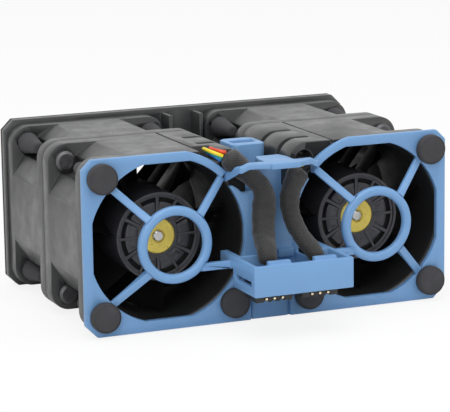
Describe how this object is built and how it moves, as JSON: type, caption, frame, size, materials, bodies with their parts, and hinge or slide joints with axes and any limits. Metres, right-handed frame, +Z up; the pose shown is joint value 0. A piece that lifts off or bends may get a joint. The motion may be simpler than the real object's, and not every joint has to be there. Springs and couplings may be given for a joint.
{
  "type": "server fan module",
  "caption": "Hot-plug cooling fan module for a one-rack-unit server: two counter-rotating double fans in a blue bezel with finger guards, rear bracket and leads to plug connectors.",
  "frame": {"origin": "on the base plane, under the middle of the module's bounding box", "axes": "+X across both fans to the right seen from the bezel, +Y with the air flow from bezel to bracket, +Z up"},
  "size_m": [0.092, 0.0808, 0.0419],
  "materials": {
    "bezel_plastic": "satin moulded blue plastic",
    "frame_plastic": "black moulded plastic",
    "impeller_plastic": "black moulded plastic, slightly glossy",
    "gasket_foam": "pale grey-green sealing strip",
    "isolator_rubber": "dull dark grey rubber",
    "screw_steel": "bright zinc",
    "bearing_steel": "ground steel",
    "bush_brass": "yellow brass",
    "yoke_steel": "drawn steel",
    "magnet_ferrite": "dark sintered ferrite",
    "lamination_steel": "stacked laminations",
    "copper_wire": "enamelled copper",
    "board_laminate": "green board",
    "connector_plastic": "black plastic",
    "contact_gold": "gold plated",
    "lead_sleeve": "black braided sleeve",
    "wire_insulation": "coloured insulation"
  },
  "bodies": {
    "housing": {"front_bezel": "bezel_plastic", "rear_bracket": "frame_plastic", "rear_gasket": "gasket_foam", "front_isolators": "isolator_rubber", "rear_isolators": "isolator_rubber", "coupling_screws": "screw_steel", "left_connector": "connector_plastic", "right_connector": "connector_plastic", "left_contacts": "contact_gold", "right_contacts": "contact_gold", "left_lead": "lead_sleeve", "right_lead": "lead_sleeve", "left_wires": "wire_insulation", "right_wires": "wire_insulation", "left_front_frame": "frame_plastic", "left_front_stator_core": "lamination_steel", "left_front_coils": "copper_wire", "left_front_bearings": "bearing_steel", "left_front_circuit_board": "board_laminate", "left_rear_frame": "frame_plastic", "left_rear_stator_core": "lamination_steel", "left_rear_coils": "copper_wire", "left_rear_bearings": "bearing_steel", "left_rear_circuit_board": "board_laminate", "right_front_frame": "frame_plastic", "right_front_stator_core": "lamination_steel", "right_front_coils": "copper_wire", "right_front_bearings": "bearing_steel", "right_front_circuit_board": "board_laminate", "right_rear_frame": "frame_plastic", "right_rear_stator_core": "lamination_steel", "right_rear_coils": "copper_wire", "right_rear_bearings": "bearing_steel", "right_rear_circuit_board": "board_laminate"},
    "left_front_rotor": {"left_front_impeller": "impeller_plastic", "left_front_shaft": "bearing_steel", "left_front_hub_bush": "bush_brass", "left_front_rotor_yoke": "yoke_steel", "left_front_magnet_ring": "magnet_ferrite", "left_front_retaining_ring": "bearing_steel"},
    "left_rear_rotor": {"left_rear_impeller": "impeller_plastic", "left_rear_shaft": "bearing_steel", "left_rear_hub_bush": "bush_brass", "left_rear_rotor_yoke": "yoke_steel", "left_rear_magnet_ring": "magnet_ferrite", "left_rear_retaining_ring": "bearing_steel"},
    "right_front_rotor": {"right_front_impeller": "impeller_plastic", "right_front_shaft": "bearing_steel", "right_front_hub_bush": "bush_brass", "right_front_rotor_yoke": "yoke_steel", "right_front_magnet_ring": "magnet_ferrite", "right_front_retaining_ring": "bearing_steel"},
    "right_rear_rotor": {"right_rear_impeller": "impeller_plastic", "right_rear_shaft": "bearing_steel", "right_rear_hub_bush": "bush_brass", "right_rear_rotor_yoke": "yoke_steel", "right_rear_magnet_ring": "magnet_ferrite", "right_rear_retaining_ring": "bearing_steel"}
  },
  "joints": [
    {"name": "left_front_spin", "type": "hinge", "parent": "housing", "child": "left_front_rotor", "pos_m": [-0.0255, -0.01485, 0.02085], "axis": [0, 1, 0], "continuous": true},
    {"name": "left_rear_spin", "type": "hinge", "parent": "housing", "child": "left_rear_rotor", "pos_m": [-0.0255, 0.03115, 0.02085], "axis": [0, 1, 0], "continuous": true},
    {"name": "right_front_spin", "type": "hinge", "parent": "housing", "child": "right_front_rotor", "pos_m": [0.0255, -0.01485, 0.02085], "axis": [0, 1, 0], "continuous": true},
    {"name": "right_rear_spin", "type": "hinge", "parent": "housing", "child": "right_rear_rotor", "pos_m": [0.0255, 0.03115, 0.02085], "axis": [0, 1, 0], "continuous": true}
  ]
}
